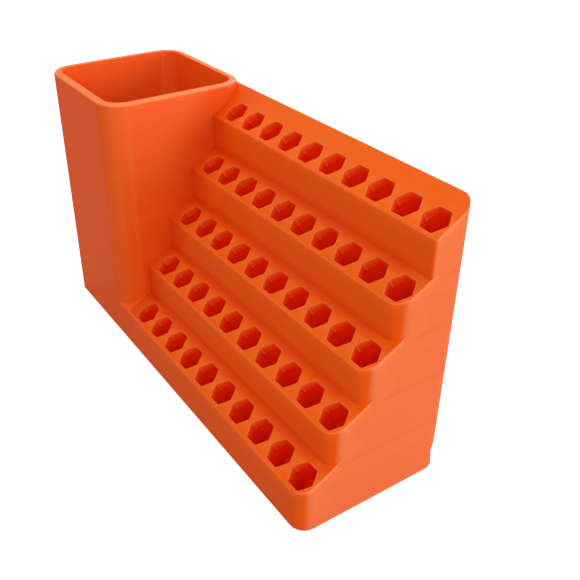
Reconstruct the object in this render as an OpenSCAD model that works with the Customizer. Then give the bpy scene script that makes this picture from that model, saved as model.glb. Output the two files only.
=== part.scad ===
// Drill bit organizer: a printed block with a staircase of hexagonal bit sockets beside an open bin.
// The rows of sockets run along X from the bin to the end face, the steps climb towards +Y, and +Z is up.
// The origin is in the middle of the underside. Lengths are in millimetres and angles in degrees.

/* [Sockets] */
// Across-flats size of the hexagonal shank that a socket holds
shank_across_flats = 6.35; // [4:0.05:10]
// Room left between the shank and the socket, across the flats
socket_clearance = 0.5; // [0.1:0.05:1]
// Depth of a socket, square to its tread
socket_depth = 9; // [5:0.5:12]
// Sockets in each row
sockets_per_row = 10; // [2:1:16]
// Web left between the corners of neighbouring sockets
socket_web = 1.5; // [0.8:0.1:6]
// Flat strip between the bin's wall and the first socket's corner
bin_side_strip = 3.35; // [1:0.05:12]
// Thinnest wall between a socket and the end face or the back face
outer_wall = 0.85; // [0.4:0.05:5]

/* [Steps] */
// Number of steps, with one row of sockets each
step_count = 5; // [2:1:8]
// Slope of every tread, rising towards the back
tread_slope = 30; // [10:1:40]
// Level width of the lip in front of the sockets
front_lip = 0.95; // [0.4:0.05:5]
// Level width of the strip between the sockets and the riser behind them
heel_strip = 1.7; // [0.5:0.05:6]
// Height from one tread to the next
step_rise = 15; // [12:0.5:30]
// Height of the lowest tread at its front edge
front_height = 12.15; // [11:0.05:30]
// Radius of the upright corner at the end of each riser below the top one
step_corner_radius = 4.3; // [0.5:0.1:5]
// Radius of the upright corner at the end of the top riser, which is nearly sharp
top_corner_radius = 0.8; // [0.4:0.1:5]
// Radius of the upright corner between the end face and the back face
back_corner_radius = 5.1; // [0.5:0.1:7]

/* [Bin] */
// Outer width of the bin along X
bin_width = 47.9; // [30:0.1:100]
// Thickness of the bin's walls
bin_wall = 2.4; // [0.8:0.1:4]
// Thickness of the bin's floor
bin_floor = 3; // [0.8:0.1:10]
// Outer radius of the bin's upright corners
bin_corner_radius = 7.9; // [5:0.1:12]
// Height of the rim above the back edge of the top tread
rim_rise = 1.4; // [0:0.1:20]

/* [Hidden] */
$fn = 96;
// Overshoot that carries a cut cleanly through a face
overshoot = 1;

socket_across_flats = shank_across_flats + socket_clearance;
// Corners of a hexagon lie further out than its flats
socket_radius = socket_across_flats/2/cos(30);
socket_pitch = 2*socket_radius + socket_web;
// Level distance from the middle of a socket's mouth to its front and back edges
mouth_reach = socket_across_flats/2*cos(tread_slope);
// Level distance by which a leaning socket's bottom lies behind its mouth
socket_setback = socket_depth*sin(tread_slope);

front_margin = front_lip + mouth_reach;
step_depth = front_margin + mouth_reach + heel_strip;
top_tread_depth = front_margin + mouth_reach + socket_setback + outer_wall;

body_depth = (step_count-1)*step_depth + top_tread_depth;
first_socket_offset = bin_side_strip + socket_radius;
stair_length = first_socket_offset + (sockets_per_row-1)*socket_pitch + socket_radius + outer_wall;
body_length = bin_width + stair_length;

left_x = -body_length/2;
bin_right_x = left_x + bin_width;
right_x = body_length/2;
front_y = -body_depth/2;
back_y = body_depth/2;

// Front face of a step, counted from 0 at the bottom
function riser_y(step) = front_y + step*step_depth;
// Radius of the upright corner at the end of a step's riser
function riser_corner(step) = step < step_count-1 ? step_corner_radius : top_corner_radius;
// Height of a step's sloping tread at the depth y
function tread_z(step, y) = front_height + step*step_rise + (y - riser_y(step))*tan(tread_slope);

bin_height = tread_z(step_count-1, back_y) + rim_rise;

// What a rounded corner at the origin takes off a shape that lies towards +X and +Y
module corner_waste(radius) {
    difference() {
        translate([-overshoot, -overshoot])
            square(radius + overshoot);
        translate([radius, radius])
            circle(radius);
    }
}

// Plan of the bin, or of its pocket when it is set in by the wall
module bin_plan(inset) {
    width = bin_width - 2*inset;
    depth = body_depth - 2*inset;
    translate([left_x + bin_width/2, 0])
        difference() {
            square([width, depth], center = true);
            for (side_x = [0, 1], side_y = [0, 1])
                mirror([side_x, 0])
                    mirror([0, side_y])
                        translate([-width/2, -depth/2])
                            corner_waste(bin_corner_radius - inset);
        }
}

// Plan of one step: it starts inside the bin and reaches from its riser to the back face
module step_plan(step) {
    start_x = bin_right_x - bin_corner_radius;
    difference() {
        translate([start_x, riser_y(step)])
            square([right_x - start_x, back_y - riser_y(step)]);
        translate([right_x, riser_y(step)])
            mirror([1, 0])
                corner_waste(riser_corner(step));
        translate([right_x, back_y])
            rotate(180)
                corner_waste(back_corner_radius);
    }
}

// One step as a block under its sloping tread
module step_block(step) {
    riser = riser_y(step);
    intersection() {
        linear_extrude(bin_height)
            step_plan(step);
        translate([left_x, 0, 0])
            rotate([90, 0, 90])
                linear_extrude(body_length + overshoot)
                    polygon([
                        [riser, 0],
                        [back_y, 0],
                        [back_y, tread_z(step, back_y)],
                        [riser, tread_z(step, riser)]
                    ]);
    }
}

// A hexagonal socket, square to its tread, with corners towards its neighbours
module socket(column, step) {
    mouth_y = riser_y(step) + front_margin;
    translate([
        bin_right_x + first_socket_offset + column*socket_pitch,
        mouth_y,
        tread_z(step, mouth_y)
    ])
        rotate([tread_slope, 0, 0])
            translate([0, 0, -socket_depth])
                cylinder(h = socket_depth + overshoot, r = socket_radius, $fn = 6);
}

// Inside of the bin, open at the rim
module bin_pocket() {
    translate([0, 0, bin_floor])
        linear_extrude(bin_height)
            bin_plan(bin_wall);
}

// The whole organizer, printed in one piece
module organizer_body() {
    color("orangered")
        difference() {
            union() {
                linear_extrude(bin_height)
                    bin_plan(0);
                for (step = [0:step_count-1])
                    step_block(step);
            }
            bin_pocket();
            for (step = [0:step_count-1], column = [0:sockets_per_row-1])
                socket(column, step);
        }
}

organizer_body();
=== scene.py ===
"""Drill bit organizer: the printed body, its layered plastic and a small white studio.

Everything is in metres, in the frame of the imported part. +X runs along the rows of sockets, from the bin to
the stepped end face, +Y is the way the steps climb, and +Z is up. The origin is in the middle of the
underside.
"""

import math

import bmesh
import bpy
from mathutils import Matrix, Vector
from mathutils.geometry import delaunay_2d_cdt


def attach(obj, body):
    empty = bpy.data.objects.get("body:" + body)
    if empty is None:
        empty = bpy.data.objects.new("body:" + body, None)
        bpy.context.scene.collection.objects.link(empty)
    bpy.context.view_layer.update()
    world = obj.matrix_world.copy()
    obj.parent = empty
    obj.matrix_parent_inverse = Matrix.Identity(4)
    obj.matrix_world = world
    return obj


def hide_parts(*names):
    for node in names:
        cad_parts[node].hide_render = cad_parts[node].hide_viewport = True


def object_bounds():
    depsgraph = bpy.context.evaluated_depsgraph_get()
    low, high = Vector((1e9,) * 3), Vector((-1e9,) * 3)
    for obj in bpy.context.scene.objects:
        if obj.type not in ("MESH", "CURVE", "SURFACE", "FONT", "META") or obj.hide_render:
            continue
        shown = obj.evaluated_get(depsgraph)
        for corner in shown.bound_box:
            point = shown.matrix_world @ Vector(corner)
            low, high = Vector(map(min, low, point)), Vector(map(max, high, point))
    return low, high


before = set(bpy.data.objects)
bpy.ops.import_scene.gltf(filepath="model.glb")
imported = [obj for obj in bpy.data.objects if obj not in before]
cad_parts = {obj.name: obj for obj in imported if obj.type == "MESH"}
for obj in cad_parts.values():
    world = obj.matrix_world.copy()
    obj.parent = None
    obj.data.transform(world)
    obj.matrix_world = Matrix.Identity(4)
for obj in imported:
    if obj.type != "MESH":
        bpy.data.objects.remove(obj)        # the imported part: one body, "root", that holds the node "organizer_body"
CAD_LOW, CAD_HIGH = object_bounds()

bl_info = {
    "name": "Drill Bit Organizer",
    "version": (1, 0, 0),
    "blender": (4, 5, 0),
    "location": "3D View > Sidebar > Organizer",
    "description": "Makes a printed drill bit organizer with its layered plastic and a white studio",
    "category": "Add Mesh",
}

MM = 0.001
BODY = "root"
NODE = "organizer_body"
# Points closer than this are one point
WELD = 2e-6
# Flat pieces along a quarter turn of a large, a middling and a small corner
LARGE_CORNER, STEP_CORNER, SOCKET_CORNER = 18, 12, 4
# Quarter turn
QUARTER = math.pi / 2
# Edges that bend by more than this are shaded as sharp ones
SHARP_FROM = math.radians(38)
# How far off a face the border of a mark lies, so that the whole face is in the mark or out of it
SKIN = 0.1 * MM
# Marks of a face's corner: how much painted highlight it takes on a soft edge, a single bead or a seam, and how deep
# inside a socket it lies
PLAIN = (0.0, 0.0)


class OrganizerSizes(bpy.types.PropertyGroup):
    """Sizes of the printed body. Its length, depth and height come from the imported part."""

    step_count: bpy.props.IntProperty(
        name="Steps", description="Number of steps, with one row of sockets each", default=5, min=2)
    sockets_per_row: bpy.props.IntProperty(
        name="Sockets per row", description="Sockets along each step", default=10, min=2)
    socket_across_flats: bpy.props.FloatProperty(
        name="Socket across flats", description="Width of a socket between two opposite flats",
        default=6.85 * MM, unit="LENGTH", subtype="DISTANCE")
    socket_depth: bpy.props.FloatProperty(
        name="Socket depth", description="Depth of a socket, square to its tread",
        default=9 * MM, unit="LENGTH", subtype="DISTANCE")
    socket_web: bpy.props.FloatProperty(
        name="Socket web", description="Web between the corners of neighbouring sockets",
        default=1.5 * MM, unit="LENGTH", subtype="DISTANCE")
    socket_corner: bpy.props.FloatProperty(
        name="Socket corner", description="Radius that the nozzle leaves in a socket's corners",
        default=0.7 * MM, unit="LENGTH", subtype="DISTANCE")
    bin_side_strip: bpy.props.FloatProperty(
        name="Strip beside the bin", description="Flat strip between the bin and the first socket's corner",
        default=3.35 * MM, unit="LENGTH", subtype="DISTANCE")
    tread_slope: bpy.props.FloatProperty(
        name="Tread slope", description="Slope of every tread, rising towards the back",
        default=math.radians(30), subtype="ANGLE")
    front_lip: bpy.props.FloatProperty(
        name="Front lip", description="Level width of the lip in front of the sockets",
        default=0.95 * MM, unit="LENGTH", subtype="DISTANCE")
    heel_strip: bpy.props.FloatProperty(
        name="Heel strip", description="Level width of the strip between the sockets and the riser behind",
        default=1.7 * MM, unit="LENGTH", subtype="DISTANCE")
    step_rise: bpy.props.FloatProperty(
        name="Step rise", description="Height from one tread to the next",
        default=15 * MM, unit="LENGTH", subtype="DISTANCE")
    front_height: bpy.props.FloatProperty(
        name="Front height", description="Height of the lowest tread at its front edge",
        default=12.15 * MM, unit="LENGTH", subtype="DISTANCE")
    step_corner: bpy.props.FloatProperty(
        name="Step corner",
        description="Radius of the upright corner at the end of each riser below the top one",
        default=4.3 * MM, unit="LENGTH", subtype="DISTANCE")
    top_corner: bpy.props.FloatProperty(
        name="Top corner", description="Radius of the upright corner at the end of the top riser",
        default=0.8 * MM, unit="LENGTH", subtype="DISTANCE")
    back_corner: bpy.props.FloatProperty(
        name="Back corner", description="Radius of the upright corner between the end face and the back",
        default=5.1 * MM, unit="LENGTH", subtype="DISTANCE")
    bin_width: bpy.props.FloatProperty(
        name="Bin width", description="Outer width of the bin",
        default=47.9 * MM, unit="LENGTH", subtype="DISTANCE")
    bin_wall: bpy.props.FloatProperty(
        name="Bin wall", description="Thickness of the bin's walls",
        default=2.4 * MM, unit="LENGTH", subtype="DISTANCE")
    bin_floor: bpy.props.FloatProperty(
        name="Bin floor", description="Thickness of the bin's floor",
        default=3 * MM, unit="LENGTH", subtype="DISTANCE")
    bin_corner: bpy.props.FloatProperty(
        name="Bin corner", description="Outer radius of the bin's upright corners",
        default=7.9 * MM, unit="LENGTH", subtype="DISTANCE")


class PrintTraits(bpy.types.PropertyGroup):
    """What the printing leaves on the shape: soft edges, beads of plastic and a slightly spread foot."""

    line_width: bpy.props.FloatProperty(
        name="Line width", description="Width of one printed line",
        default=0.4 * MM, unit="LENGTH", subtype="DISTANCE")
    edge_softness: bpy.props.FloatProperty(
        name="Edge softness", description="How far the rounding of a tread's edge reaches",
        default=0.22 * MM, unit="LENGTH", subtype="DISTANCE")
    bead_groove: bpy.props.FloatProperty(
        name="Bead groove", description="Depth of the groove between two printed lines",
        default=0.035 * MM, unit="LENGTH", subtype="DISTANCE")
    rim_softness: bpy.props.FloatProperty(
        name="Rim softness", description="How far the rounding of the rim's outer edges reaches",
        default=0.8 * MM, unit="LENGTH", subtype="DISTANCE")
    foot_height: bpy.props.FloatProperty(
        name="Foot height", description="Height of the band above the base that the print bed shapes",
        default=9.5 * MM, unit="LENGTH", subtype="DISTANCE")
    foot_neck: bpy.props.FloatProperty(
        name="Foot neck", description="How far the wall draws in just above its spread foot",
        default=0.09 * MM, unit="LENGTH", subtype="DISTANCE")
    corner_waist: bpy.props.FloatProperty(
        name="Corner waist", description="How far the back right corner draws in above its foot",
        default=0.42 * MM, unit="LENGTH", subtype="DISTANCE")
    seam_blob: bpy.props.FloatProperty(
        name="Seam blob",
        description="How far the blob stands out in the corner of a socket where its lines start",
        default=0.7 * MM, unit="LENGTH", subtype="DISTANCE")
    seam_depth: bpy.props.FloatProperty(
        name="Seam depth", description="Depth of the blob below the mouth of the socket",
        default=2.35 * MM, unit="LENGTH", subtype="DISTANCE")
    bin_seam: bpy.props.FloatProperty(
        name="Bin seam", description="How far the seam stands out in the bin's inner back left corner",
        default=0.12 * MM, unit="LENGTH", subtype="DISTANCE")


class PrintFinish(bpy.types.PropertyGroup):
    """Colour and surface of the printed plastic. Colours are linear."""

    plastic_colour: bpy.props.FloatVectorProperty(
        name="Plastic colour", description="Colour of the orange plastic on upright walls",
        default=(0.88, 0.098, 0.006), size=3, min=0, max=1, subtype="COLOR")
    # Painted light: surfaces that face up take a lighter, yellower colour than the walls
    lit_tread_colour: bpy.props.FloatVectorProperty(
        name="Tread colour",
        description="Colour of surfaces that face up, which show the edges of the layers",
        default=(0.89, 0.124, 0.004), size=3, min=0, max=1, subtype="COLOR")
    # Painted sheen: the end face takes a paler, whiter colour for the light and reflection that it catches
    end_sheen_colour: bpy.props.FloatVectorProperty(
        name="End colour", description="Colour of the end face, where each short line starts and stops",
        default=(0.86, 0.162, 0.047), size=3, min=0, max=1, subtype="COLOR")
    # The pale colour stands both for paler plastic and for painted light: highlights on edges and beads, glow below
    # the treads' edges, and light through thin webs and walls
    pale_colour: bpy.props.FloatVectorProperty(
        name="Pale colour", description="Colour of the plastic where it is thin or stretched",
        default=(1.0, 0.32, 0.12), size=3, min=0, max=1, subtype="COLOR")
    # Painted light: the warm colour of the glow on a riser just below the edge of its tread
    warm_glow_colour: bpy.props.FloatVectorProperty(
        name="Warm colour", description="Colour of a riser just below the edge of its tread",
        default=(1.0, 0.137, 0.006), size=3, min=0, max=1, subtype="COLOR")
    # Painted shade: the darker colour in the creases of the stair and low on the bin's right wall
    crease_shade_colour: bpy.props.FloatVectorProperty(
        name="Crease colour", description="Colour of the plastic in the creases of the stair",
        default=(0.66, 0.012, 0.0), size=3, min=0, max=1, subtype="COLOR")
    socket_colour: bpy.props.FloatVectorProperty(
        name="Socket colour",
        description="Colour deep inside a socket, where light passes through the plastic",
        default=(1.0, 0.03, 0.0), size=3, min=0, max=1, subtype="COLOR")
    roughness: bpy.props.FloatProperty(
        name="Roughness", description="Roughness of the plastic between its layer lines",
        default=0.45, min=0, max=1, subtype="FACTOR")
    socket_roughness: bpy.props.FloatProperty(
        name="Socket roughness", description="How much rougher the plastic is deep inside a socket",
        default=0.4, min=0, max=1, subtype="FACTOR")
    gloss: bpy.props.FloatProperty(
        name="Gloss", description="Specular level of the plastic",
        default=0.055, min=0, max=1, subtype="FACTOR")
    layer_height: bpy.props.FloatProperty(
        name="Layer height", description="Height of one printed layer",
        default=0.2 * MM, unit="LENGTH", subtype="DISTANCE")
    layer_relief: bpy.props.FloatProperty(
        name="Layer relief", description="Depth of the groove between two layers",
        default=0.012 * MM, unit="LENGTH", subtype="DISTANCE")
    # Painted highlight: how much of the pale colour soft edges, single beads, the rim and seam blobs take
    edge_highlight: bpy.props.FloatProperty(
        name="Edge paleness", description="How pale soft edges and single beads are",
        default=0.45, min=0, max=1, subtype="FACTOR")
    # Painted light: the glow just below the edge of a tread, stronger on the end face, its wider reach and its
    # strength on the risers
    edge_glow: bpy.props.FloatProperty(
        name="Edge glow", description="How pale a wall is in the few lines below the edge of a tread",
        default=0.1, min=0, max=1, subtype="FACTOR")
    end_edge_glow: bpy.props.FloatProperty(
        name="End edge glow", description="How much paler those lines are on the end face",
        default=0.25, min=0, max=1, subtype="FACTOR")
    wide_glow: bpy.props.FloatProperty(
        name="Wide glow", description="How pale a wall is as far as the light from the tread reaches into it",
        default=0.06, min=0, max=1, subtype="FACTOR")
    riser_glow: bpy.props.FloatProperty(
        name="Riser glow",
        description="How many times stronger the glow is on a riser, which takes the warm colour",
        default=4.0, min=0)
    # Painted light through the thin webs between the sockets
    web_paleness: bpy.props.FloatProperty(
        name="Web paleness", description="How pale the thin webs between the sockets are",
        default=0.08, min=0, max=1, subtype="FACTOR")
    bin_paleness: bpy.props.FloatProperty(
        name="Bin paleness",
        description="How pale the bin's right wall is at the top, where light comes through",
        default=0.16, min=0, max=1, subtype="FACTOR")
    # Painted highlight: two upright pale lines on the bin's front right corner
    corner_highlight: bpy.props.FloatProperty(
        name="Corner ripple", description="How pale the upright lines on the bin's front right corner are",
        default=0.05, min=0, max=1, subtype="FACTOR")
    band_paleness: bpy.props.FloatProperty(
        name="Band paleness", description="How pale the layers are that a sloping tread ends in",
        default=0.035, min=0, max=1, subtype="FACTOR")
    hull_line: bpy.props.FloatProperty(
        name="Hull line", description="How dark the line is at the height where a riser starts",
        default=0.05, min=0, max=1, subtype="FACTOR")
    ghost_paleness: bpy.props.FloatProperty(
        name="Ghost paleness",
        description="How pale the end face is where a row's last socket lies behind it",
        default=0.06, min=0, max=1, subtype="FACTOR")
    ghost_depth: bpy.props.FloatProperty(
        name="Ghost depth", description="Depth below the tread to which the last socket shows",
        default=11.5 * MM, unit="LENGTH", subtype="DISTANCE")
    blotchiness: bpy.props.FloatProperty(
        name="Blotchiness", description="How much the paleness wanders over the surface",
        default=0.05, min=0, max=1, subtype="FACTOR")
    # Reach and strength of the painted shade in the creases
    crease_width: bpy.props.FloatProperty(
        name="Crease width", description="How far the crease colour reaches out from the foot of a riser",
        default=3.5 * MM, unit="LENGTH", subtype="DISTANCE")
    bin_crease_width: bpy.props.FloatProperty(
        name="Bin crease width", description="How far the crease colour reaches out from the bin",
        default=16 * MM, unit="LENGTH", subtype="DISTANCE")
    crease_depth: bpy.props.FloatProperty(
        name="Crease depth", description="How strong the crease colour is on a riser",
        default=0.42, min=0, max=1, subtype="FACTOR")
    heel_depth: bpy.props.FloatProperty(
        name="Heel depth", description="How much stronger the crease colour is on a tread",
        default=0.13, min=0, max=1, subtype="FACTOR")


class StudioSettings(bpy.types.PropertyGroup):
    """The white studio and the camera of the photograph's view."""

    floor_size: bpy.props.FloatProperty(
        name="Floor size", description="Side of the white floor",
        default=4.0, unit="LENGTH", subtype="DISTANCE")
    floor_grey: bpy.props.FloatProperty(
        name="Floor grey", description="How much light the floor throws back",
        default=0.38, min=0, max=1, subtype="FACTOR")
    floor_glow: bpy.props.FloatProperty(
        name="Floor glow", description="Extra white of the floor where the camera sees it",
        default=0.9, min=0)
    floor_mirrored: bpy.props.FloatProperty(
        name="Floor mirrored", description="Extra white of the floor where the plastic mirrors it",
        default=0.2, min=0)
    surround_level: bpy.props.FloatProperty(
        name="Surround level", description="Light from all round, where the white that is seen is 1",
        default=0.775, min=0)
    camera_place: bpy.props.FloatVectorProperty(
        name="Camera place", description="Where the camera stands",
        default=(175.01 * MM, -101.12 * MM, 152.58 * MM), size=3, subtype="TRANSLATION")
    camera_target: bpy.props.FloatVectorProperty(
        name="Camera target", description="The point that the camera looks at",
        default=(9.49 * MM, 4.42 * MM, 31.21 * MM), size=3, subtype="TRANSLATION")
    camera_roll: bpy.props.FloatProperty(
        name="Camera roll", description="Turn of the camera about its line of sight",
        default=math.radians(-0.37), subtype="ANGLE")
    lens: bpy.props.FloatProperty(
        name="Lens", description="Focal length on a 36 mm wide frame, in millimetres", default=47.89)
    shift: bpy.props.FloatVectorProperty(
        name="Shift", description="Shift of the frame, in widths", default=(0.0599, -0.0113), size=2)


class Form:
    """Places that follow from the sizes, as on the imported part."""

    def __init__(self, sizes, traits):
        self.sizes = sizes
        self.traits = traits
        self.left, self.front = CAD_LOW.x, CAD_LOW.y
        self.right, self.back = CAD_HIGH.x, CAD_HIGH.y
        self.top = CAD_HIGH.z
        self.bin_right = self.left + sizes.bin_width
        self.slope = math.tan(sizes.tread_slope)
        self.flat_half = sizes.socket_across_flats / 2
        self.mouth_reach = self.flat_half * math.cos(sizes.tread_slope)
        self.front_margin = sizes.front_lip + self.mouth_reach
        self.step_depth = self.front_margin + self.mouth_reach + sizes.heel_strip
        self.socket_radius = self.flat_half / math.cos(math.radians(30))
        self.pitch = 2 * self.socket_radius + sizes.socket_web
        self.first_socket = self.bin_right + sizes.bin_side_strip + self.socket_radius
        self.last_step = sizes.step_count - 1
        # In from a wall, to the groove behind its soft edge and to the flat of the tread
        self.groove_reach = traits.edge_softness + 0.2 * traits.line_width
        self.flat_reach = traits.edge_softness + 0.34 * traits.line_width
        # Where the rounding of the rim starts
        self.rim_z = self.top - traits.rim_softness

    def riser_y(self, step):
        """Front face of a step, counted from 0 at the bottom."""
        return self.front + step * self.step_depth

    def riser_corner(self, step):
        """Radius of the upright corner at the end of a step's riser."""
        return self.sizes.step_corner if step < self.last_step else self.sizes.top_corner

    def tread_z(self, step, y):
        """Height of a step's sloping tread at the depth y."""
        low_edge = self.sizes.front_height + step * self.sizes.step_rise
        return low_edge + (y - self.riser_y(step)) * self.slope

    def on_tread(self, step, x, y):
        return (x, y, self.tread_z(step, y))

    def from_socket(self, step, column, across, along, out):
        """A point given from the middle of a socket's mouth: along X, up the slope and out of the tread."""
        mouth_y = self.riser_y(step) + self.front_margin
        cosine, sine = math.cos(self.sizes.tread_slope), math.sin(self.sizes.tread_slope)
        return (
            self.first_socket + column * self.pitch + across,
            mouth_y + along * cosine - out * sine,
            self.tread_z(step, mouth_y) + along * sine + out * cosine,
        )


class Stop:
    """A point of an outline seen from above, with the way out of the body and the room behind it."""

    def __init__(self, x, y, out_x, out_y, room=math.inf):
        self.x, self.y = x, y
        self.out_x, self.out_y = out_x, out_y
        self.room = room

    def inward(self, distance):
        return self.x - self.out_x * distance, self.y - self.out_y * distance


def round_corner(centre_x, centre_y, radius, start, pieces):
    """Stops along a quarter turn, from the angle start on."""
    stops = []
    for k in range(pieces + 1):
        angle = start + QUARTER * k / pieces
        out_x, out_y = math.cos(angle), math.sin(angle)
        stops.append(Stop(centre_x + radius * out_x, centre_y + radius * out_y, out_x, out_y))
    return stops


def straight(first, last, longest):
    """Stops between two others on a straight wall, without its ends."""
    length = math.hypot(last.x - first.x, last.y - first.y)
    pieces = max(1, math.ceil(length / longest))
    stops = []
    for k in range(1, pieces):
        share = k / pieces
        stops.append(Stop(first.x + (last.x - first.x) * share, first.y + (last.y - first.y) * share,
                          first.out_x, first.out_y))
    return stops


def for_each(marks, count):
    """A list of marks, one for each point."""
    return marks if isinstance(marks, list) else [marks] * count


class Shell:
    """Collects the faces of a closed body and the marks of its points."""

    def __init__(self):
        self.points = []
        self.marks = []
        self.faces = []

    def add(self, corners, marks=PLAIN):
        """One face from its corners, with one pair of marks for all or one for each."""
        first = len(self.points)
        self.points.extend(corners)
        self.marks.extend(for_each(marks, len(corners)))
        self.faces.append(range(first, len(self.points)))

    def strip(self, near, far, near_marks=PLAIN, far_marks=PLAIN, closed=False):
        """Faces between two rows of points."""
        count = len(near)
        near_marks, far_marks = for_each(near_marks, count), for_each(far_marks, count)
        for k in range(count if closed else count - 1):
            following = (k + 1) % count
            self.add(
                [near[k], near[following], far[following], far[k]],
                [near_marks[k], near_marks[following], far_marks[following], far_marks[k]],
            )

    def rows(self, rows, marks=None, closed=False):
        """Strips between each row and the one after it."""
        marks = marks or [PLAIN] * len(rows)
        for k in range(len(rows) - 1):
            self.strip(rows[k], rows[k + 1], marks[k], marks[k + 1], closed)

    def build(self, name):
        """The welded body as a mesh, or an error if it isn't closed."""
        mesh = bpy.data.meshes.new(name)
        mesh.from_pydata(self.points, [], [list(face) for face in self.faces])
        for place, name_of_mark in enumerate(("bead_highlight", "inside")):
            attribute = mesh.attributes.new(name_of_mark, "FLOAT", "CORNER")
            attribute.data.foreach_set("value", [marks[place] for marks in self.marks])
        body = bmesh.new()
        body.from_mesh(mesh)
        bmesh.ops.remove_doubles(body, verts=body.verts, dist=WELD)
        bmesh.ops.dissolve_degenerate(body, edges=body.edges, dist=WELD)
        bmesh.ops.recalc_face_normals(body, faces=body.faces)
        torn = [edge for edge in body.edges if len(edge.link_faces) != 2]
        if torn:
            spots = [tuple(round(c / MM, 2) for c in edge.verts[0].co) for edge in torn[:6]]
            raise RuntimeError(f"{name} isn't closed: {len(torn)} open edges, such as at {spots} mm")
        body.to_mesh(mesh)
        body.free()
        return mesh


def rounded(wall, corner, inner, share, opening):
    """A point on the round between a wall and a tread, whose edge is at corner. opening is their angle."""
    weight = math.sin(opening / 2)
    shares = ((1 - share) ** 2, 2 * share * (1 - share) * weight, share ** 2)
    total = sum(shares)
    return tuple(
        (shares[0] * a + shares[1] * b + shares[2] * c) / total for a, b, c in zip(wall, corner, inner)
    )


def front_corner_of_bin(form):
    radius = form.sizes.bin_corner
    return round_corner(form.bin_right - radius, form.front + radius, radius, -QUARTER, LARGE_CORNER)


def back_corner_of_bin(form):
    radius = form.sizes.bin_corner
    return round_corner(form.bin_right - radius, form.back - radius, radius, 0, LARGE_CORNER)


def riser_stops(form, step):
    """The outline of a riser from the bin, round its upright corner, to the end face."""
    radius = form.riser_corner(step)
    front = form.riser_y(step)
    if step:
        stops = [Stop(form.bin_right, front, 0, -1)]
    else:
        stops = [Stop(corner.x, front, 0, -1, room=corner.y - front) for corner in front_corner_of_bin(form)]
    return stops + round_corner(form.right - radius, front + radius, radius, -QUARTER, STEP_CORNER)


def edge_stops(form, step):
    """The outer edge of a tread: its riser, then the end face, as far as the tread reaches."""
    stops = riser_stops(form, step)
    if step < form.last_step:
        for corner in riser_stops(form, step + 1)[1:]:
            stops.append(Stop(form.right, corner.y, 1, 0, room=form.right - corner.x))
        return stops
    radius = form.sizes.back_corner
    stops += round_corner(form.right - radius, form.back - radius, radius, 0, STEP_CORNER)
    for corner in back_corner_of_bin(form):
        stops.append(Stop(corner.x, form.back, 0, 1, room=form.back - corner.y))
    return stops


def inner_stops(form, step):
    """The inner edge of a tread, along the bin and the riser behind it."""
    if step == form.last_step:
        return [Stop(form.bin_right, form.riser_y(step), 1, 0)] + back_corner_of_bin(form)
    start = front_corner_of_bin(form) if step == 0 else [Stop(form.bin_right, form.riser_y(step), 1, 0)]
    return start + riser_stops(form, step + 1)


def lip_rows(form, step):
    """Rows of points from the wall over the soft edge of a tread on to its flat, with their marks."""
    traits = form.traits
    soft = traits.edge_softness
    rows = [[] for _ in range(6)]
    # The painted highlight on the edge is strongest where the edge faces right or back, at the end face and the back,
    # and weaker along the riser
    highlight_share = []
    for stop in edge_stops(form, step):
        shrink = min(1, 0.8 * stop.room / form.flat_reach)
        slope_in = -stop.out_y * form.slope
        opening = QUARTER + math.atan(slope_in)
        reach = soft * shrink * math.cos(math.atan(slope_in))
        top = form.tread_z(step, stop.y)
        wall = (stop.x, stop.y, top - soft * shrink)
        inner = form.on_tread(step, *stop.inward(reach))
        corner = (stop.x, stop.y, top)
        rows[0].append(wall)
        rows[1].append(rounded(wall, corner, inner, 1 / 3, opening))
        rows[2].append(rounded(wall, corner, inner, 2 / 3, opening))
        rows[3].append(inner)
        x, y, z = form.on_tread(step, *stop.inward(form.groove_reach * shrink))
        rows[4].append((x, y, z - traits.bead_groove * shrink))
        rows[5].append(form.on_tread(step, *stop.inward(form.flat_reach * shrink)))
        highlight_share.append(0.3 + 0.7 * max(0.0, stop.out_x, stop.out_y))
    return rows, [[(bead_highlight * share, 0.0) for share in highlight_share] for bead_highlight in (0.0, 1.0, 1.0, 1.0, 0.3, 0.0)]


def hexagon(form, offset, blob=0.0):
    """A socket's outline, set out from its wall by offset, with round corners and a seam blob."""
    radius = form.sizes.socket_corner
    centres = (form.flat_half - radius) / math.cos(math.radians(30))
    points = []
    for side in range(6):
        middle = math.radians(60) * side
        for k in range(SOCKET_CORNER + 1):
            angle = middle + math.radians(60) * (k / SOCKET_CORNER - 0.5)
            reach = radius + offset - blob * seam_share(side, k)
            points.append((
                centres * math.cos(middle) + reach * math.cos(angle),
                centres * math.sin(middle) + reach * math.sin(angle),
            ))
    return points


def seam_share(side, k):
    """How much of the seam blob a point of the outline has. The seam is in the corner towards the bin."""
    corner_towards_bin = 3
    return (0.3, 1, 1, 0.5, 0)[k] if side == corner_towards_bin else 0


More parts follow.
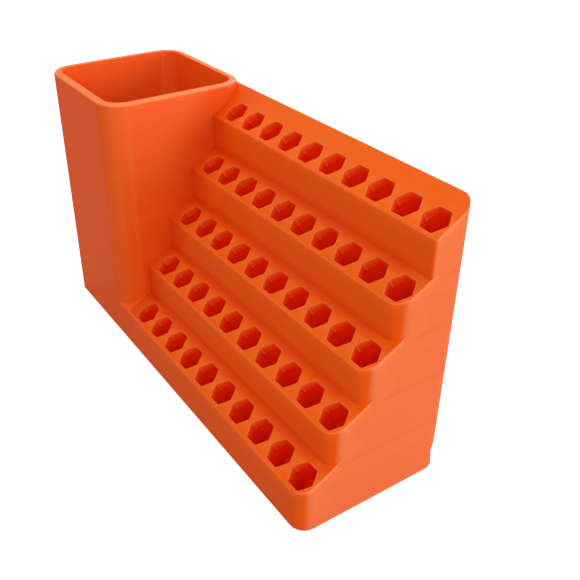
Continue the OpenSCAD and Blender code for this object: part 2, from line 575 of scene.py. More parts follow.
def socket_rows(form, step, column):
    """Rows of points from the tread over the soft mouth of a socket down to its bottom, with their marks."""
    traits = form.traits
    soft = traits.edge_softness
    blob, seam = traits.seam_blob, traits.seam_depth
    # Distance out from the wall, depth, painted highlight of the bead and how far the seam blob stands out
    profile = [
        (form.flat_reach, 0, 0, 0),
        (form.groove_reach, traits.bead_groove, 0.2, 0),
        (soft, 0, 0.6, 0),
        (soft * 0.33, soft * 0.12, 0.5, 0),
        (soft * 0.06, soft * 0.5, 0.1, 0),
        (0, soft, 0, 0),
        (0, 3 * soft, 0, 0.4 * blob),
        (0, seam - 0.6 * MM, 0, 0.3 * blob),
        (0, seam - 0.3 * MM, 0, 0.7 * blob),
        (0, seam, 0, blob),
        (0, seam + 0.3 * MM, 0, 0.6 * blob),
        (0, seam + 0.6 * MM, 0, 0),
        (0, form.sizes.socket_depth, 0, 0),
    ]
    # The depth over which the colour turns to the one deep inside
    fade = 0.22 * form.sizes.socket_depth
    rows, marks = [], []
    for offset, depth, bead_highlight, bulge in profile:
        outline = hexagon(form, offset, bulge)
        rows.append([form.from_socket(step, column, *place, -depth) for place in outline])
        inside = min(1.0, max(0.0, depth - soft) / fade)
        shares = [seam_share(side, k) * bulge / blob for side in range(6) for k in range(SOCKET_CORNER + 1)]
        # The seam blob takes a painted highlight through the bead mark, and not the colour deep inside
        marks.append([(max(bead_highlight, 2 * share), inside * (1 - share)) for share in shares])
    return rows, marks


def fill_tread(shell, form, step, outline, holes):
    """Fills the flat of a tread round the mouths of its sockets. The filling is worked out in millimetres."""
    loops = [outline] + holes
    spots, edges = [], []
    for loop in loops:
        first = len(spots)
        count = len(loop)
        spots.extend(Vector((x / MM, y / MM)) for x, y, _ in loop)
        edges.extend((first + k, first + (k + 1) % count) for k in range(count))
    found, _, triangles, _, _, _ = delaunay_2d_cdt(spots, edges, [], 0, 1e-6)
    outer = spots[:len(outline)]
    mouths = []
    first = len(outline)
    for hole in holes:
        mouths.append(spots[first:first + len(hole)])
        first += len(hole)
    for triangle in triangles:
        middle = sum((found[k] for k in triangle), Vector((0, 0))) / 3
        if inside(middle, outer) and not any(in_socket(form, middle, mouth) for mouth in mouths):
            shell.add([form.on_tread(step, found[k].x * MM, found[k].y * MM) for k in triangle])


def in_socket(form, spot, mouth):
    """Whether a point, in millimetres, lies inside a socket's mouth, which is narrower than the pitch."""
    return abs(spot.x - mouth[0].x) < form.pitch / MM and inside(spot, mouth)


def inside(spot, loop):
    """Whether a point lies inside a closed outline."""
    odd = False
    for k, here in enumerate(loop):
        before = loop[k - 1]
        if (here.y > spot.y) != (before.y > spot.y):
            cross = (before.x - here.x) * (spot.y - here.y) / (before.y - here.y) + here.x
            if spot.x < cross:
                odd = not odd
    return odd


def add_treads(shell, form):
    """The treads with their soft edges and sockets. Gives back each tread's rows of edge points."""
    lips = []
    for step in range(form.sizes.step_count):
        rows, marks = lip_rows(form, step)
        shell.rows(rows, marks)
        lips.append(rows)
        holes = []
        for column in range(form.sizes.sockets_per_row):
            mouth, mouth_marks = socket_rows(form, step, column)
            shell.rows(mouth, mouth_marks, closed=True)
            shell.add(mouth[-1], mouth_marks[-1])
            holes.append(mouth[0])
        inner = [form.on_tread(step, stop.x, stop.y) for stop in inner_stops(form, step)]
        start = 0 if step == 0 else 1
        outline = rows[-1] + list(reversed(inner[start:]))
        fill_tread(shell, form, step, without_repeats(outline), holes)
    return lips


def without_repeats(loop):
    """The loop without points that lie on the one before."""
    kept = []
    for point in loop:
        if not kept or math.dist(point, kept[-1]) > WELD:
            kept.append(point)
    if math.dist(kept[0], kept[-1]) <= WELD:
        kept.pop()
    return kept


def body_outline(form):
    """The closed outline of the whole body at its base, anticlockwise from the front left."""
    sizes = form.sizes
    bin_radius, step_radius, back_radius = sizes.bin_corner, sizes.step_corner, sizes.back_corner
    corners = [
        round_corner(form.left + bin_radius, form.front + bin_radius, bin_radius, math.pi, LARGE_CORNER),
        round_corner(form.right - step_radius, form.front + step_radius, step_radius, -QUARTER, STEP_CORNER),
        round_corner(form.right - back_radius, form.back - back_radius, back_radius, 0, STEP_CORNER),
        round_corner(form.left + bin_radius, form.back - bin_radius, bin_radius, QUARTER, LARGE_CORNER),
    ]
    sides = []
    for k, corner in enumerate(corners):
        following = corners[(k + 1) % len(corners)]
        sides.append(straight(corner[-1], following[0], 5 * MM))
    return corners, sides


def bell(value, middle, width):
    return math.exp(-(((value - middle) / width) ** 2))


def foot_inset(form, stop, z):
    """How far the wall is drawn in near the base: at its lowest edge, its neck and the back right corner."""
    traits = form.traits
    edge_inset, edge_height = 0.3 * MM, 0.2 * MM
    neck_height, neck_spread = 1.3 * MM, 0.7 * MM
    waist_height, waist_spread, waist_reach = 4.1 * MM, 2.5 * MM, 9 * MM
    edge = edge_inset * max(0, 1 - z / edge_height) ** 2
    neck = traits.foot_neck * bell(z, neck_height, neck_spread)
    from_corner = math.hypot(stop.x - form.right, stop.y - form.back)
    at_corner = bell(from_corner, 0, waist_reach)
    waist = traits.corner_waist * bell(z, waist_height, waist_spread) * at_corner
    return edge + neck + waist


def add_foot(shell, form, corners, sides):
    """The band above the base, and the underside."""
    top = form.traits.foot_height
    # Closer together where the wall bends more
    heights = [0, 0.06, 0.13, 0.22, 0.5, 0.8, 1.1, 1.4, 1.8, 2.3, 3, 3.8, 4.6, 5.4, 6.2, 7.2, 8.3]
    heights = [height * MM for height in heights] + [top]
    loop = [stop for corner, side in zip(corners, sides) for stop in corner + side]
    rows = []
    for z in heights:
        fade = 1 if z < top else 0
        rows.append([(*stop.inward(foot_inset(form, stop, z) * fade), z) for stop in loop])
    shell.rows(rows, closed=True)
    shell.add(rows[0])


def at(stop, z):
    return (stop.x, stop.y, z)


def add_walls(shell, form, lips, corners, sides):
    """The upright walls between the foot, the treads and the rim."""
    foot, rim_z = form.traits.foot_height, form.rim_z
    front_left, front_right, back_right, back_left = corners
    front_side, end_side, back_side, left_side = sides
    bin_front, bin_back = front_corner_of_bin(form), back_corner_of_bin(form)
    front_walls = [lip[0] for lip in lips]

    # Bin: the left side and its two corners
    for corner in (front_left, back_left):
        shell.strip([at(stop, foot) for stop in corner], [at(stop, rim_z) for stop in corner])
    left_wall = [back_left[-1]] + left_side + [front_left[0]]
    shell.add([at(stop, foot) for stop in left_wall] + [at(front_left[0], rim_z), at(back_left[-1], rim_z)])

    # Front wall of the bin and the lowest step
    lowest = front_walls[0]
    on_front = lowest[:LARGE_CORNER + 2]
    bottom = [at(stop, foot) for stop in [front_left[-1]] + front_side + [front_right[0]]]
    shell.add(bottom + list(reversed(on_front)) + [at(bin_front[0], rim_z), at(front_left[-1], rim_z)])

    # Upright corner of the lowest step
    start = LARGE_CORNER + 1
    shell.strip([at(stop, foot) for stop in front_right], lowest[start:start + STEP_CORNER + 1])

    # Risers and their upright corners
    for step in range(1, form.sizes.step_count):
        stops = riser_stops(form, step)
        below = [form.on_tread(step - 1, stop.x, stop.y) for stop in stops]
        shell.strip(below, front_walls[step][:len(stops)])

    # End face under the staircase
    face = [at(stop, foot) for stop in [front_right[-1]] + end_side + [back_right[0]]]
    for step in reversed(range(form.sizes.step_count)):
        start = len(riser_stops(form, step)) - 1
        end = start + 2 if step == form.last_step else len(front_walls[step])
        face += list(reversed(front_walls[step][start:end]))
    shell.add(face)

    # Upright corner at the back right
    highest = front_walls[-1]
    start = len(riser_stops(form, form.last_step))
    shell.strip([at(stop, foot) for stop in back_right], highest[start:start + STEP_CORNER + 1])

    # Back wall
    start += STEP_CORNER
    wall = [at(stop, foot) for stop in [back_right[-1]] + back_side + [back_left[0]]]
    shell.add(wall + [at(back_left[0], rim_z), at(bin_back[-1], rim_z)] + list(reversed(highest[start:])))

    # The bin's right side above the treads
    shell.strip([form.on_tread(0, s.x, s.y) for s in bin_front], [at(s, rim_z) for s in bin_front])
    shell.strip([form.on_tread(form.last_step, s.x, s.y) for s in bin_back], [at(s, rim_z) for s in bin_back])
    side = [form.on_tread(0, bin_front[-1].x, bin_front[-1].y)]
    for step in range(1, form.sizes.step_count):
        side.append(form.on_tread(step - 1, form.bin_right, form.riser_y(step)))
        side += [row[0] for row in lips[step]]
    side.append(form.on_tread(form.last_step, bin_back[0].x, bin_back[0].y))
    shell.add(side + [at(bin_back[0], rim_z), at(bin_front[-1], rim_z)])


def rim_profile(form):
    """The rim's section from the outer wall to the inner one, as distance in, drop and mark of painted highlight."""
    traits, wall = form.traits, form.sizes.bin_wall
    soft, edge = traits.rim_softness, traits.edge_softness
    points = [
        (0, soft, 0.1),
        (0.06 * soft, 0.62 * soft, 0.6),
        (0.29 * soft, 0.29 * soft, 1.3),
        (0.62 * soft, 0.06 * soft, 1.2),
        (soft, 0, 0.9),
    ]
    lines = round((wall - soft) / traits.line_width)
    width = (wall - soft) / lines
    for line in range(lines):
        groove = soft + line * width
        points.append((groove + 0.12 * width, traits.bead_groove, 0.25))
        points.append((groove + 0.4 * width, 0, 0.7))
        points.append((groove + 0.7 * width, 0, 0.7))
    points.append((wall - 0.3 * edge, 0.12 * edge, 0.3))
    points.append((wall - 0.06 * edge, 0.5 * edge, 0.1))
    points.append((wall, edge, 0.0))
    return points


def seam_of_bin(stop, form):
    """How much of the seam a point of the bin's inner wall has: 1 on a line in its back left corner."""
    sizes = form.sizes
    from_centre = Vector((stop.x - form.left - sizes.bin_corner, stop.y - form.back + sizes.bin_corner))
    if from_centre.x > 0 or from_centre.y < 0:
        return 0
    angle = math.degrees(math.atan2(from_centre.y, from_centre.x))
    seam_angle, seam_spread = 160, 5
    return bell(angle, seam_angle, seam_spread)


def add_rim_and_pocket(shell, form, corners):
    """The rim with its printed lines, and the inside of the bin down to its floor."""
    front_left, _, _, back_left = corners
    loop = front_left + front_corner_of_bin(form) + back_corner_of_bin(form) + back_left
    profile = rim_profile(form)
    rows = [[(*stop.inward(distance), form.top - drop) for stop in loop] for distance, drop, _ in profile]
    shell.rows(rows, [(mark, 0.0) for _, _, mark in profile], closed=True)
    wall, floor = form.sizes.bin_wall, form.sizes.bin_floor
    inner, marks = [rows[-1]], [PLAIN]
    seams = [seam_of_bin(stop, form) for stop in loop]
    # Down the wall, over the soft corner at its foot and on to the floor
    soft = 0.3 * MM
    section = (
        (wall, form.rim_z),
        (wall, floor + soft),
        (wall + 0.3 * soft, floor + 0.3 * soft),
        (wall + soft, floor),
    )
    for inset, z in section:
        ridge = form.traits.bin_seam if z > floor else 0
        inner.append([(*stop.inward(inset + seam * ridge), z) for stop, seam in zip(loop, seams)])
        # The seam in the bin's corner takes a faint painted highlight through the bead mark
        marks.append([(0.25 * seam, 0.0) for seam in seams])
    shell.rows(inner, marks, closed=True)
    shell.add(inner[-1])


def make_print(form):
    """The whole printed body as one closed mesh."""
    shell = Shell()
    corners, sides = body_outline(form)
    add_foot(shell, form, corners, sides)
    lips = add_treads(shell, form)
    add_walls(shell, form, lips, corners, sides)
    add_rim_and_pocket(shell, form, corners)
    return shell.build("organizer_print")


class Board:
    """Adds nodes to a material, so that its formulas read like sums."""

    def __init__(self, tree):
        self.tree = tree

    def node(self, kind, **settings):
        node = self.tree.nodes.new(kind)
        for name, value in settings.items():
            setattr(node, name, value)
        return node

    def feed(self, socket, value):
        """Links a socket to an output, or gives it a plain value."""
        if isinstance(value, bpy.types.NodeSocket):
            self.tree.links.new(value, socket)
        else:
            socket.default_value = value

    def operation(self, kind, *values):
        node = self.node("ShaderNodeMath", operation=kind)
        for socket, value in zip(node.inputs, values):
            self.feed(socket, value)
        return node.outputs[0]

    def larger(self, first, second):
        return self.operation("MAXIMUM", first, second)

    def without_sign(self, value):
        return self.operation("ABSOLUTE", value)

    def total(self, *terms):
        """The sum of several pairs of a value and its weight."""
        result = 0.0
        for value, weight in terms:
            result = self.operation("MULTIPLY_ADD", value, weight, result)
        return result

    def ramp(self, value, start, end):
        """0 at start and 1 at end, smooth between them. end may be the lower one."""
        node = self.node("ShaderNodeMapRange", interpolation_type="SMOOTHSTEP")
        for name, given in (("Value", value), ("From Min", start), ("From Max", end)):
            self.feed(node.inputs[name], given)
        return node.outputs["Result"]

    def every(self, *masks):
        """1 where all masks are 1."""
        result = masks[0]
        for mask in masks[1:]:
            result = self.operation("MULTIPLY", result, mask)
        return result

    def apart(self, vector):
        """The three parts of a vector."""
        node = self.node("ShaderNodeSeparateXYZ")
        self.feed(node.inputs[0], vector)
        return node.outputs

    def noise(self, place, size, detail=2.0):
        """Smooth noise, mostly from -1 to 1, with blotches of about the given size."""
        node = self.node("ShaderNodeTexNoise")
        self.feed(node.inputs["Vector"], place)
        node.inputs["Scale"].default_value = 1 / size
        node.inputs["Detail"].default_value = detail
        return self.operation("MULTIPLY_ADD", node.outputs["Fac"], 4.0, -2.0)

    def blend(self, share, first, second):
        """The first colour where share is 0, and the second where it is 1."""
        node = self.node("ShaderNodeMix", data_type="RGBA", clamp_factor=False)
        # The places of the share and of the two colours among the node's sockets
        for place, given in ((0, share), (6, first), (7, second)):
            self.feed(node.inputs[place], given)
        return node.outputs[2]


class PlasticBoard(Board):
    """The nodes of the printed plastic, from where a point lies, which way it faces and its marks.

    A mask goes from 0 to 1. A paleness is a share of the pale colour, which stands for paler plastic and for painted
    light, and may be below 0.
    """

    def __init__(self, tree, finish, form):
        super().__init__(tree)
        self.finish = finish
        self.form = form
        coordinates = self.node("ShaderNodeTexCoord").outputs
        self.x, self.y, self.z = self.apart(coordinates["Object"])
        self.facing_x, self.facing_y, self.facing_z = self.apart(coordinates["Normal"])
        # The bead mark carries the painted highlight of soft edges, beads, the rim and seams, and also makes them
        # smoother
        self.bead_highlight = self.node("ShaderNodeAttribute", attribute_name="bead_highlight").outputs["Fac"]
        self.inside = self.node("ShaderNodeAttribute", attribute_name="inside").outputs["Fac"]

        # Noise that is stretched along the layers, and noise that isn't
        stretch = 25
        streak_size, blotch_size, grain_size = 0.8 * MM, 12 * MM, 0.9 * MM
        flattened = self.node("ShaderNodeVectorMath", operation="MULTIPLY")
        self.feed(flattened.inputs[0], coordinates["Object"])
        flattened.inputs[1].default_value = (1 / stretch, 1 / stretch, 1)
        self.streaks = self.noise(flattened.outputs[0], streak_size)
        self.blotches = self.noise(coordinates["Object"], blotch_size, detail=3.0)
        self.grain = self.noise(coordinates["Object"], grain_size, detail=3.0)

        self.upward = self.ramp(self.facing_z, 0.5, 0.8)
        self.on_end_face = self.end_face()
        self.on_right_wall = self.right_bin_wall()
        self.over_stair = self.above_stair()
        self.up_slope, self.below = self.place_in_row()

    def end_face(self):
        """1 on the end face, 0 on the risers and a ramp round the upright corners between them."""
        reach, core = 2.4 * MM, 1.3 * MM
        first_turn, last_turn = math.radians(52), math.radians(74)
        return self.every(
            self.ramp(self.x, self.form.right - reach, self.form.right - core),
            self.ramp(self.facing_x, math.sin(first_turn), math.sin(last_turn)),
        )

    def right_bin_wall(self):
        """1 on the bin's right wall above the stair."""
        edge, corner = self.form.bin_right, self.form.sizes.bin_corner
        return self.every(
            self.ramp(self.x, edge + 3 * SKIN, edge + SKIN),
            self.ramp(self.facing_x, 0.3, 0.9),
            self.ramp(self.x, edge - corner, edge - 0.5 * corner),
        )

    def above_stair(self):
        """Height above a plane through the front edges of the treads."""
        climb = self.form.sizes.step_rise / self.form.step_depth
        start = self.form.sizes.front_height - self.form.front * climb
        return self.total((self.z, 1.0), (self.y, -climb), (1.0, -start))

    def place_in_row(self):
        """Where a point lies in its row: up the slope from the middle of the sockets, and below the tread."""
        form = self.form
        cosine, sine = math.cos(form.sizes.tread_slope), math.sin(form.sizes.tread_slope)
        mouth_y = form.front + form.front_margin
        mouth_z = form.tread_z(0, mouth_y)
        up_slope = self.total((self.y, cosine), (self.z, sine), (1.0, -(mouth_y * cosine + mouth_z * sine)))
        below = self.total((self.y, sine), (self.z, -cosine), (1.0, -(mouth_y * sine - mouth_z * cosine)))
        # From one row to the next, in the same two directions
        along = form.step_depth * cosine + form.sizes.step_rise * sine
        down = form.step_depth * sine - form.sizes.step_rise * cosine
        row = self.operation("FLOOR", self.total((up_slope, 1 / along), (1.0, 0.5)))
        row = self.operation("MINIMUM", self.larger(row, 0.0), float(form.last_step))
        return self.total((up_slope, 1.0), (row, -along)), self.total((below, 1.0), (row, -down))

    def layer_bands(self):
        """Paleness of the layers that a tread ends in, and of the dark line at the foot of the next riser."""
        form, finish = self.form, self.finish
        band_start, band_full, band_fade = 0.2 * MM, 1.2 * MM, 0.6 * MM
        line_height, line_reach, line_core = 0.6 * MM, 1.1 * MM, 0.2 * MM
        base_start, base_end = 7 * MM, 10 * MM
        end_reach = 3 * MM
        over_front = self.operation("SUBTRACT", self.z, form.sizes.front_height)
        over_edge = self.operation("FLOORED_MODULO", over_front, form.sizes.step_rise)
        foot = form.step_depth * form.slope
        pale = self.every(
            self.ramp(over_edge, band_start, band_full),
            self.ramp(over_edge, foot, foot - band_fade),
        )
        from_line = self.without_sign(self.operation("SUBTRACT", over_edge, foot + line_height))
        dark = self.ramp(from_line, line_reach, line_core)
        # Full at the end face, faint on the bin and gone near the base
        near_end = self.ramp(self.x, form.right - end_reach, form.right)
        return self.every(
            self.total((1.0, 0.3), (near_end, 0.7)),
            self.ramp(self.z, base_start, base_end),
            self.total((pale, finish.band_paleness), (dark, -finish.hull_line)),
        )

    def socket_ghosts(self):
        """1 on the end face where the last socket of a row lies close behind it."""
        depth = self.finish.ghost_depth
        back_reach, back_core = 1.4 * MM, 1.0 * MM
        bottom_fade, top_fade = 0.8 * MM, 1 * MM
        return self.every(
            self.ramp(self.x, self.form.right - 4 * SKIN, self.form.right - SKIN),
            self.ramp(self.up_slope, back_reach, back_core),
            self.ramp(self.below, depth, depth - bottom_fade),
            self.ramp(self.below, -top_fade, 0),
        )

    def below_edges(self):
        """Painted light: glow of the walls of the stair just below the edge of a tread."""
        form, finish = self.form, self.finish
        narrow_reach, narrow_core = 1.3 * MM, 0.2 * MM
        wide_reach, wide_core = 4.5 * MM, 0.5 * MM
        bin_shade = 9 * MM
        narrow = self.every(
            self.ramp(self.below, narrow_reach, narrow_core),
            self.total((1.0, finish.edge_glow), (self.on_end_face, finish.end_edge_glow)),
        )
        wide = self.ramp(self.below, wide_reach, wide_core)
        return self.every(
            self.ramp(self.x, form.bin_right + SKIN, form.bin_right + bin_shade),
            self.ramp(self.facing_z, 0.5, 0.3),
            self.ramp(self.below, -SKIN, 0),
            self.total((narrow, 1.0), (wide, finish.wide_glow)),
        )

    def thin_webs(self):
        """1 on a tread in the middle of the web between two sockets, which is painted paler for the light through it.
        """
        form = self.form
        # Along the row in pitches, up the slope in metres
        row_reach, row_core = 0.22, 0.06
        slope_reach, slope_core = 3.4 * MM, 1.2 * MM
        strip_start, strip_end = 2 * MM, 4 * MM
        pitches = self.total((self.x, 1 / form.pitch), (1.0, -form.first_socket / form.pitch))
        from_middle = self.operation("SUBTRACT", self.operation("FLOORED_MODULO", pitches, 1.0), 0.5)
        return self.every(
            self.upward,
            self.ramp(self.without_sign(from_middle), row_reach, row_core),
            self.ramp(self.without_sign(self.up_slope), slope_reach, slope_core),
            self.ramp(self.x, form.bin_right + strip_start, form.bin_right + strip_end),
        )

    def lit_bin_wall(self):
        """Rises to 1 at the top of the bin's right wall, further from the stair."""
        dim_height, lit_height = 32 * MM, self.form.top + 3 * MM
        stair_shade_start, stair_shade_end = 2 * MM, 24 * MM
        clear_of_stair = self.ramp(self.over_stair, stair_shade_start, stair_shade_end)
        return self.every(
            self.on_right_wall,
            self.ramp(self.z, dim_height, lit_height),
            self.total((1.0, 0.5), (clear_of_stair, 0.5)),
        )

    def bin_wall_crease_shade(self):
        """Painted shade: 1 low on the bin's right wall, where it meets the stair, but not near the front."""
        reach = 20 * MM
        front_start, front_full = 10 * MM, 24 * MM
        return self.every(
            self.on_right_wall,
            self.ramp(self.over_stair, reach, 0),
            self.ramp(self.y, self.form.front + front_start, self.form.front + front_full),
        )

    def corner_highlights(self):
        """Painted highlights: 1 on a wide and a fine upright line of the bin's front right corner."""
        edge, corner_end = self.form.bin_right, self.form.front + self.form.sizes.bin_corner
        fade = 1 * MM
        # Each line lies where the corner has turned by so much: 0 at the front wall, 1 at the right one
        wide = self.every(self.ramp(self.facing_x, 0.08, 0.3), self.ramp(self.facing_x, 0.85, 0.7))
        fine = self.every(self.ramp(self.facing_x, 0.93, 0.97), self.ramp(self.facing_x, 0.998, 0.98))
        return self.every(
            self.ramp(self.x, edge + SKIN, edge + 0.5 * SKIN),
            self.ramp(self.y, corner_end + fade, corner_end),
            self.operation("ADD", wide, fine),
        )

    def left_wall_inside(self):
        """1 on the inner face of the bin's left wall, which takes half of the painted light of the bin's right wall.
        """
        reach, core = 9 * MM, 3 * MM
        return self.every(
            self.ramp(self.x, self.form.left + reach, self.form.left + core),
            self.ramp(self.facing_x, 0.2, 0.7),
        )

    def stair_crease_shade(self):
        """Painted shade: 1 in the creases at the foot of each riser and along the bin, fading out from them."""
        form, finish = self.form, self.finish
        foot_y = form.riser_y(1)
        foot_z = form.tread_z(0, foot_y)
        depths = self.total((self.y, 1 / form.step_depth), (1.0, -foot_y / form.step_depth))
        step = self.operation("MINIMUM", self.operation("ROUND", depths), float(form.last_step - 1))
        behind = self.total((self.y, 1.0), (1.0, -foot_y), (step, -form.step_depth))
        above = self.total((self.z, 1.0), (1.0, -foot_z), (step, -form.sizes.step_rise))
        squares = self.operation("ADD", self.every(behind, behind), self.every(above, above))
        at_foot = self.ramp(self.operation("SQRT", squares), finish.crease_width, 0)
        # Light comes in round the bin's back corner, so the painted shade along the bin fades out towards it
        edge, corner = form.bin_right, form.sizes.bin_corner
        towards_back = self.ramp(self.y, form.back - 1.3 * corner, form.back)
        at_bin = self.every(
            self.ramp(self.x, edge + finish.bin_crease_width, edge),
            self.total((1.0, 0.9), (towards_back, -0.6)),
        )
        depth = self.total((self.larger(at_foot, at_bin), 1.0), (self.every(at_foot, at_bin), 0.5))
        # The painted crease shade is weaker at the open end
        open_start, open_end = 10 * MM, 3 * MM
        closed = self.ramp(self.x, form.right - open_end, form.right - open_start)
        return self.every(self.on_stair(), self.total((1.0, 0.4), (closed, 0.6)), depth)

    def on_stair(self):
        """1 on the risers and treads, but not on the end face, the back or the front wall."""
        form = self.form
        edge, corner = form.bin_right, form.sizes.bin_corner
        # The bit of the top tread that lies behind the bin's round corner, below the rim
        below_rim, down_to, fade = 1.2 * MM, 7 * MM, 1 * MM
        behind_bin = self.every(
            self.ramp(self.x, edge - corner, edge - 0.9 * corner),
            self.ramp(self.facing_z, 0.7, 0.8),
            self.ramp(self.z, form.top - down_to - fade, form.top - down_to),
            self.ramp(self.z, form.top - below_rim + SKIN, form.top - below_rim),
        )
        return self.every(
            self.larger(behind_bin, self.ramp(self.x, edge - SKIN, edge)),
            self.ramp(self.facing_x, 0.8, 0.3),
            self.ramp(self.facing_y, 0.4, 0.1),
            self.ramp(self.y, form.front + SKIN, form.front + fade),
        )

    def base_colour(self):
        """The colour of each side, with painted light on the treads and painted sheen on the end face, then the
        painted glow, the paleness with its painted highlights, the painted crease shade and the painted colour deep in
        the sockets over it.
        """
        finish = self.finish
        glow = self.below_edges()
        glow_on_end = self.every(glow, self.on_end_face)
        glow_on_risers = self.operation("SUBTRACT", glow, glow_on_end)
        # The paleness sums painted light (edge highlights, the glow on the end face, light through the thin webs and
        # the bin's walls, the corner highlights) with paler plastic (layer bands, ghosts and random blotches)
        paleness = self.total(
            (self.bead_highlight, finish.edge_highlight),
            (glow_on_end, 1.0),
            (self.thin_webs(), finish.web_paleness),
            (self.lit_bin_wall(), finish.bin_paleness),
            (self.left_wall_inside(), 0.5 * finish.bin_paleness),
            (self.corner_highlights(), finish.corner_highlight),
            (self.layer_bands(), 1.0),
            (self.socket_ghosts(), finish.ghost_paleness),
            (self.blotches, finish.blotchiness * 0.35),
            (self.streaks, finish.blotchiness * 0.2),
            (self.grain, finish.blotchiness * 0.25),
        )
        depth_on_stair = self.total((1.0, finish.crease_depth), (self.upward, finish.heel_depth))
        # Painted shade in the creases of the stair and low on the bin's right wall
        creases = self.total(
            (self.every(self.stair_crease_shade(), depth_on_stair), 1.0),
            (self.bin_wall_crease_shade(), 0.5 * finish.crease_depth),
        )
        colour = (*finish.plastic_colour, 1)
        for share, over in (
            # Painted light on surfaces that face up and painted sheen on the end face
            (self.upward, finish.lit_tread_colour),
            (self.on_end_face, finish.end_sheen_colour),
            # A riser takes far less of the white light than the end face, so its painted glow is stronger but warm
            (self.total((glow_on_risers, finish.riser_glow)), finish.warm_glow_colour),
            (paleness, finish.pale_colour),
            (creases, finish.crease_shade_colour),
            (self.inside, finish.socket_colour),
        ):
            colour = self.blend(share, colour, (*over, 1))
        return colour

    def roughness(self):
        return self.total(
            (1.0, self.finish.roughness),
            (self.blotches, 0.03),
            (self.streaks, 0.03),
            (self.bead_highlight, -0.08),
            (self.inside, self.finish.socket_roughness),
        )

    def relief(self):
        """Height of the round layers with a groove between them, and of a fine unevenness."""
        turn = self.operation("MULTIPLY", self.z, math.pi / self.finish.layer_height)
        layers = self.without_sign(self.operation("SINE", turn))
        depth = self.finish.layer_relief
        return self.total((layers, depth), (self.streaks, 0.3 * depth), (self.grain, 0.5 * depth))


def printed_plastic(finish, form):
    """Orange filament plastic: painted highlights on its edges, pale bands, painted shade in the creases, the painted
    deep red of the sockets, and layer lines.
    """
    material = bpy.data.materials.new("printed_plastic")
    material.use_nodes = True
    board = PlasticBoard(material.node_tree, finish, form)
    bump = board.node("ShaderNodeBump")
    bump.inputs["Distance"].default_value = 1
    board.feed(bump.inputs["Height"], board.relief())
    shader = material.node_tree.nodes["Principled BSDF"]
    board.feed(shader.inputs["Base Color"], board.base_colour())
    board.feed(shader.inputs["Roughness"], board.roughness())
    board.feed(shader.inputs["Normal"], bump.outputs["Normal"])
    shader.inputs["Specular IOR Level"].default_value = finish.gloss
    return material


class ORGANIZER_OT_add_print(bpy.types.Operator):
    """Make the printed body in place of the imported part's node"""

    bl_idname = "organizer.add_print"
    bl_label = "Printed Body"

    def execute(self, context):
        scene = context.scene
        form = Form(scene.organizer_sizes, scene.organizer_traits)
        mesh = make_print(form)
        mesh.shade_smooth()
        mesh.set_sharp_from_angle(angle=SHARP_FROM)
        body = bpy.data.objects.new("organizer_print", mesh)
        scene.collection.objects.link(body)
        weighted = body.modifiers.new("weighted_normals", "WEIGHTED_NORMAL")
        weighted.keep_sharp = True
        weighted.weight = 100
        mesh.materials.append(printed_plastic(scene.organizer_finish, form))
        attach(body, BODY)
        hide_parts(NODE)
        return {"FINISHED"}


# Each lamp: direction round from the front towards the right, height angle, side of the square, power
LAMPS = {
    "window_back_left": (225, 35, 0.6, 5.8),
    "lamp_front_right": (45, 35, 0.6, 2.4),
    "low_right_back": (135, 14, 0.6, 3.5),
    "low_right": (105, 5, 0.6, 4.2),
}
# From the middle of the object to each lamp
LAMP_DISTANCE = 1.2


def place_camera(settings):
    """The camera of the photograph's view."""
    data = bpy.data.cameras.new("photo_camera")
    data.lens = settings.lens
    data.sensor_width = 36
    data.shift_x, data.shift_y = settings.shift
    data.clip_start, data.clip_end = 0.005, 20
    camera = bpy.data.objects.new("photo_camera", data)
    ahead = Vector(settings.camera_target) - Vector(settings.camera_place)
    turn = ahead.to_track_quat("-Z", "Y").to_matrix().to_4x4()
    roll = Matrix.Rotation(settings.camera_roll, 4, "Z")
    camera.matrix_world = Matrix.Translation(settings.camera_place) @ turn @ roll
    bpy.context.scene.collection.objects.link(camera)
    bpy.context.scene.camera = camera


def where_seen(tree, unseen, seen, mirrored):
    """A strength for what a surface lights, another where the camera sees it and one where it is mirrored."""
    board = Board(tree)
    path = board.node("ShaderNodeLightPath").outputs
    by_mirror = board.larger(path["Is Glossy Ray"], path["Is Transmission Ray"])
    return board.total((1.0, unseen), (path["Is Camera Ray"], seen - unseen), (by_mirror, mirrored - unseen))


def white_floor(settings):
    """A white floor that keeps a faint shadow of what stands on it."""
    mesh = bpy.data.meshes.new("studio_floor")
    half = settings.floor_size / 2
    corners = [(-half, -half, 0), (half, -half, 0), (half, half, 0), (-half, half, 0)]
    mesh.from_pydata(corners, [], [(0, 1, 2, 3)])
    floor = bpy.data.objects.new("studio_floor", mesh)
    bpy.context.scene.collection.objects.link(floor)
    material = bpy.data.materials.new("studio_white")
    material.use_nodes = True
    tree = material.node_tree
    paper = tree.nodes["Principled BSDF"]
    grey = settings.floor_grey
    paper.inputs["Base Color"].default_value = (grey, grey, grey, 1)
    paper.inputs["Roughness"].default_value = 0.9
    paper.inputs["Specular IOR Level"].default_value = 0
    glow = tree.nodes.new("ShaderNodeEmission")
    glow.inputs["Color"].default_value = (1, 1, 1, 1)
    tree.links.new(where_seen(tree, 0, settings.floor_glow, settings.floor_mirrored), glow.inputs["Strength"])
    both = tree.nodes.new("ShaderNodeAddShader")
    tree.links.new(paper.outputs[0], both.inputs[0])
    tree.links.new(glow.outputs[0], both.inputs[1])
    tree.links.new(both.outputs[0], tree.nodes["Material Output"].inputs["Surface"])
    floor.data.materials.append(material)


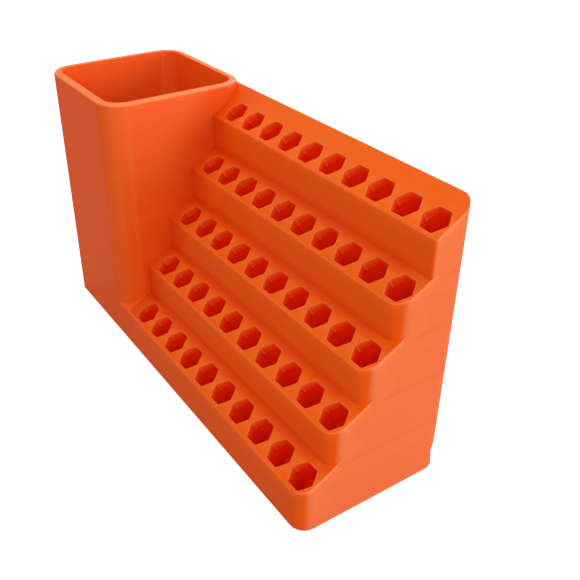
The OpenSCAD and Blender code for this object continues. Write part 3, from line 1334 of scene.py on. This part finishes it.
def white_surround(settings):
    """Even light from all round, seen as white."""
    world = bpy.data.worlds.new("studio_surround")
    bpy.context.scene.world = world
    world.use_nodes = True
    background = world.node_tree.nodes["Background"]
    background.inputs["Color"].default_value = (1, 1, 1, 1)
    strength = where_seen(world.node_tree, settings.surround_level, 1, 1)
    world.node_tree.links.new(strength, background.inputs["Strength"])


def add_lamp(name, around, height, side, power):
    """A square soft lamp that looks at the middle of the object."""
    around, height = math.radians(around), math.radians(height)
    level = math.cos(height)
    towards = Vector((math.sin(around) * level, -math.cos(around) * level, math.sin(height)))
    data = bpy.data.lights.new(name, "AREA")
    data.shape = "SQUARE"
    data.size = side
    data.energy = power
    lamp = bpy.data.objects.new(name, data)
    lamp.location = Vector((0, 0, CAD_HIGH.z / 2)) + towards * LAMP_DISTANCE
    lamp.rotation_euler = (-towards).to_track_quat("-Z", "Y").to_euler()
    bpy.context.scene.collection.objects.link(lamp)


class ORGANIZER_OT_add_studio(bpy.types.Operator):
    """Make the white floor, the soft light and the camera of the photograph's view"""

    bl_idname = "organizer.add_studio"
    bl_label = "White Studio"

    def execute(self, context):
        settings = context.scene.organizer_studio
        place_camera(settings)
        white_floor(settings)
        white_surround(settings)
        for name, values in LAMPS.items():
            add_lamp(name, *values)
        context.scene.view_settings.view_transform = "Standard"
        return {"FINISHED"}


class ORGANIZER_PT_panel(bpy.types.Panel):
    """Buttons and sizes of the drill bit organizer"""

    bl_idname = "ORGANIZER_PT_panel"
    bl_label = "Drill Bit Organizer"
    bl_space_type = "VIEW_3D"
    bl_region_type = "UI"
    bl_category = "Organizer"

    def draw(self, context):
        layout = self.layout
        for operator in OPERATORS:
            layout.operator(operator.bl_idname)
        for group in SETTINGS:
            box = layout.box()
            for name in SETTINGS[group].__annotations__:
                box.prop(getattr(context.scene, group), name)


SETTINGS = {
    "organizer_sizes": OrganizerSizes,
    "organizer_traits": PrintTraits,
    "organizer_finish": PrintFinish,
    "organizer_studio": StudioSettings,
}
OPERATORS = (ORGANIZER_OT_add_print, ORGANIZER_OT_add_studio)


def register():
    for group, kind in SETTINGS.items():
        bpy.utils.register_class(kind)
        setattr(bpy.types.Scene, group, bpy.props.PointerProperty(type=kind))
    for kind in (*OPERATORS, ORGANIZER_PT_panel):
        bpy.utils.register_class(kind)


def unregister():
    for kind in (ORGANIZER_PT_panel, *OPERATORS):
        bpy.utils.unregister_class(kind)
    for group, kind in SETTINGS.items():
        delattr(bpy.types.Scene, group)
        bpy.utils.unregister_class(kind)


def main():
    register()
    bpy.ops.organizer.add_print()
    bpy.ops.organizer.add_studio()


if __name__ == "__main__":
    main()
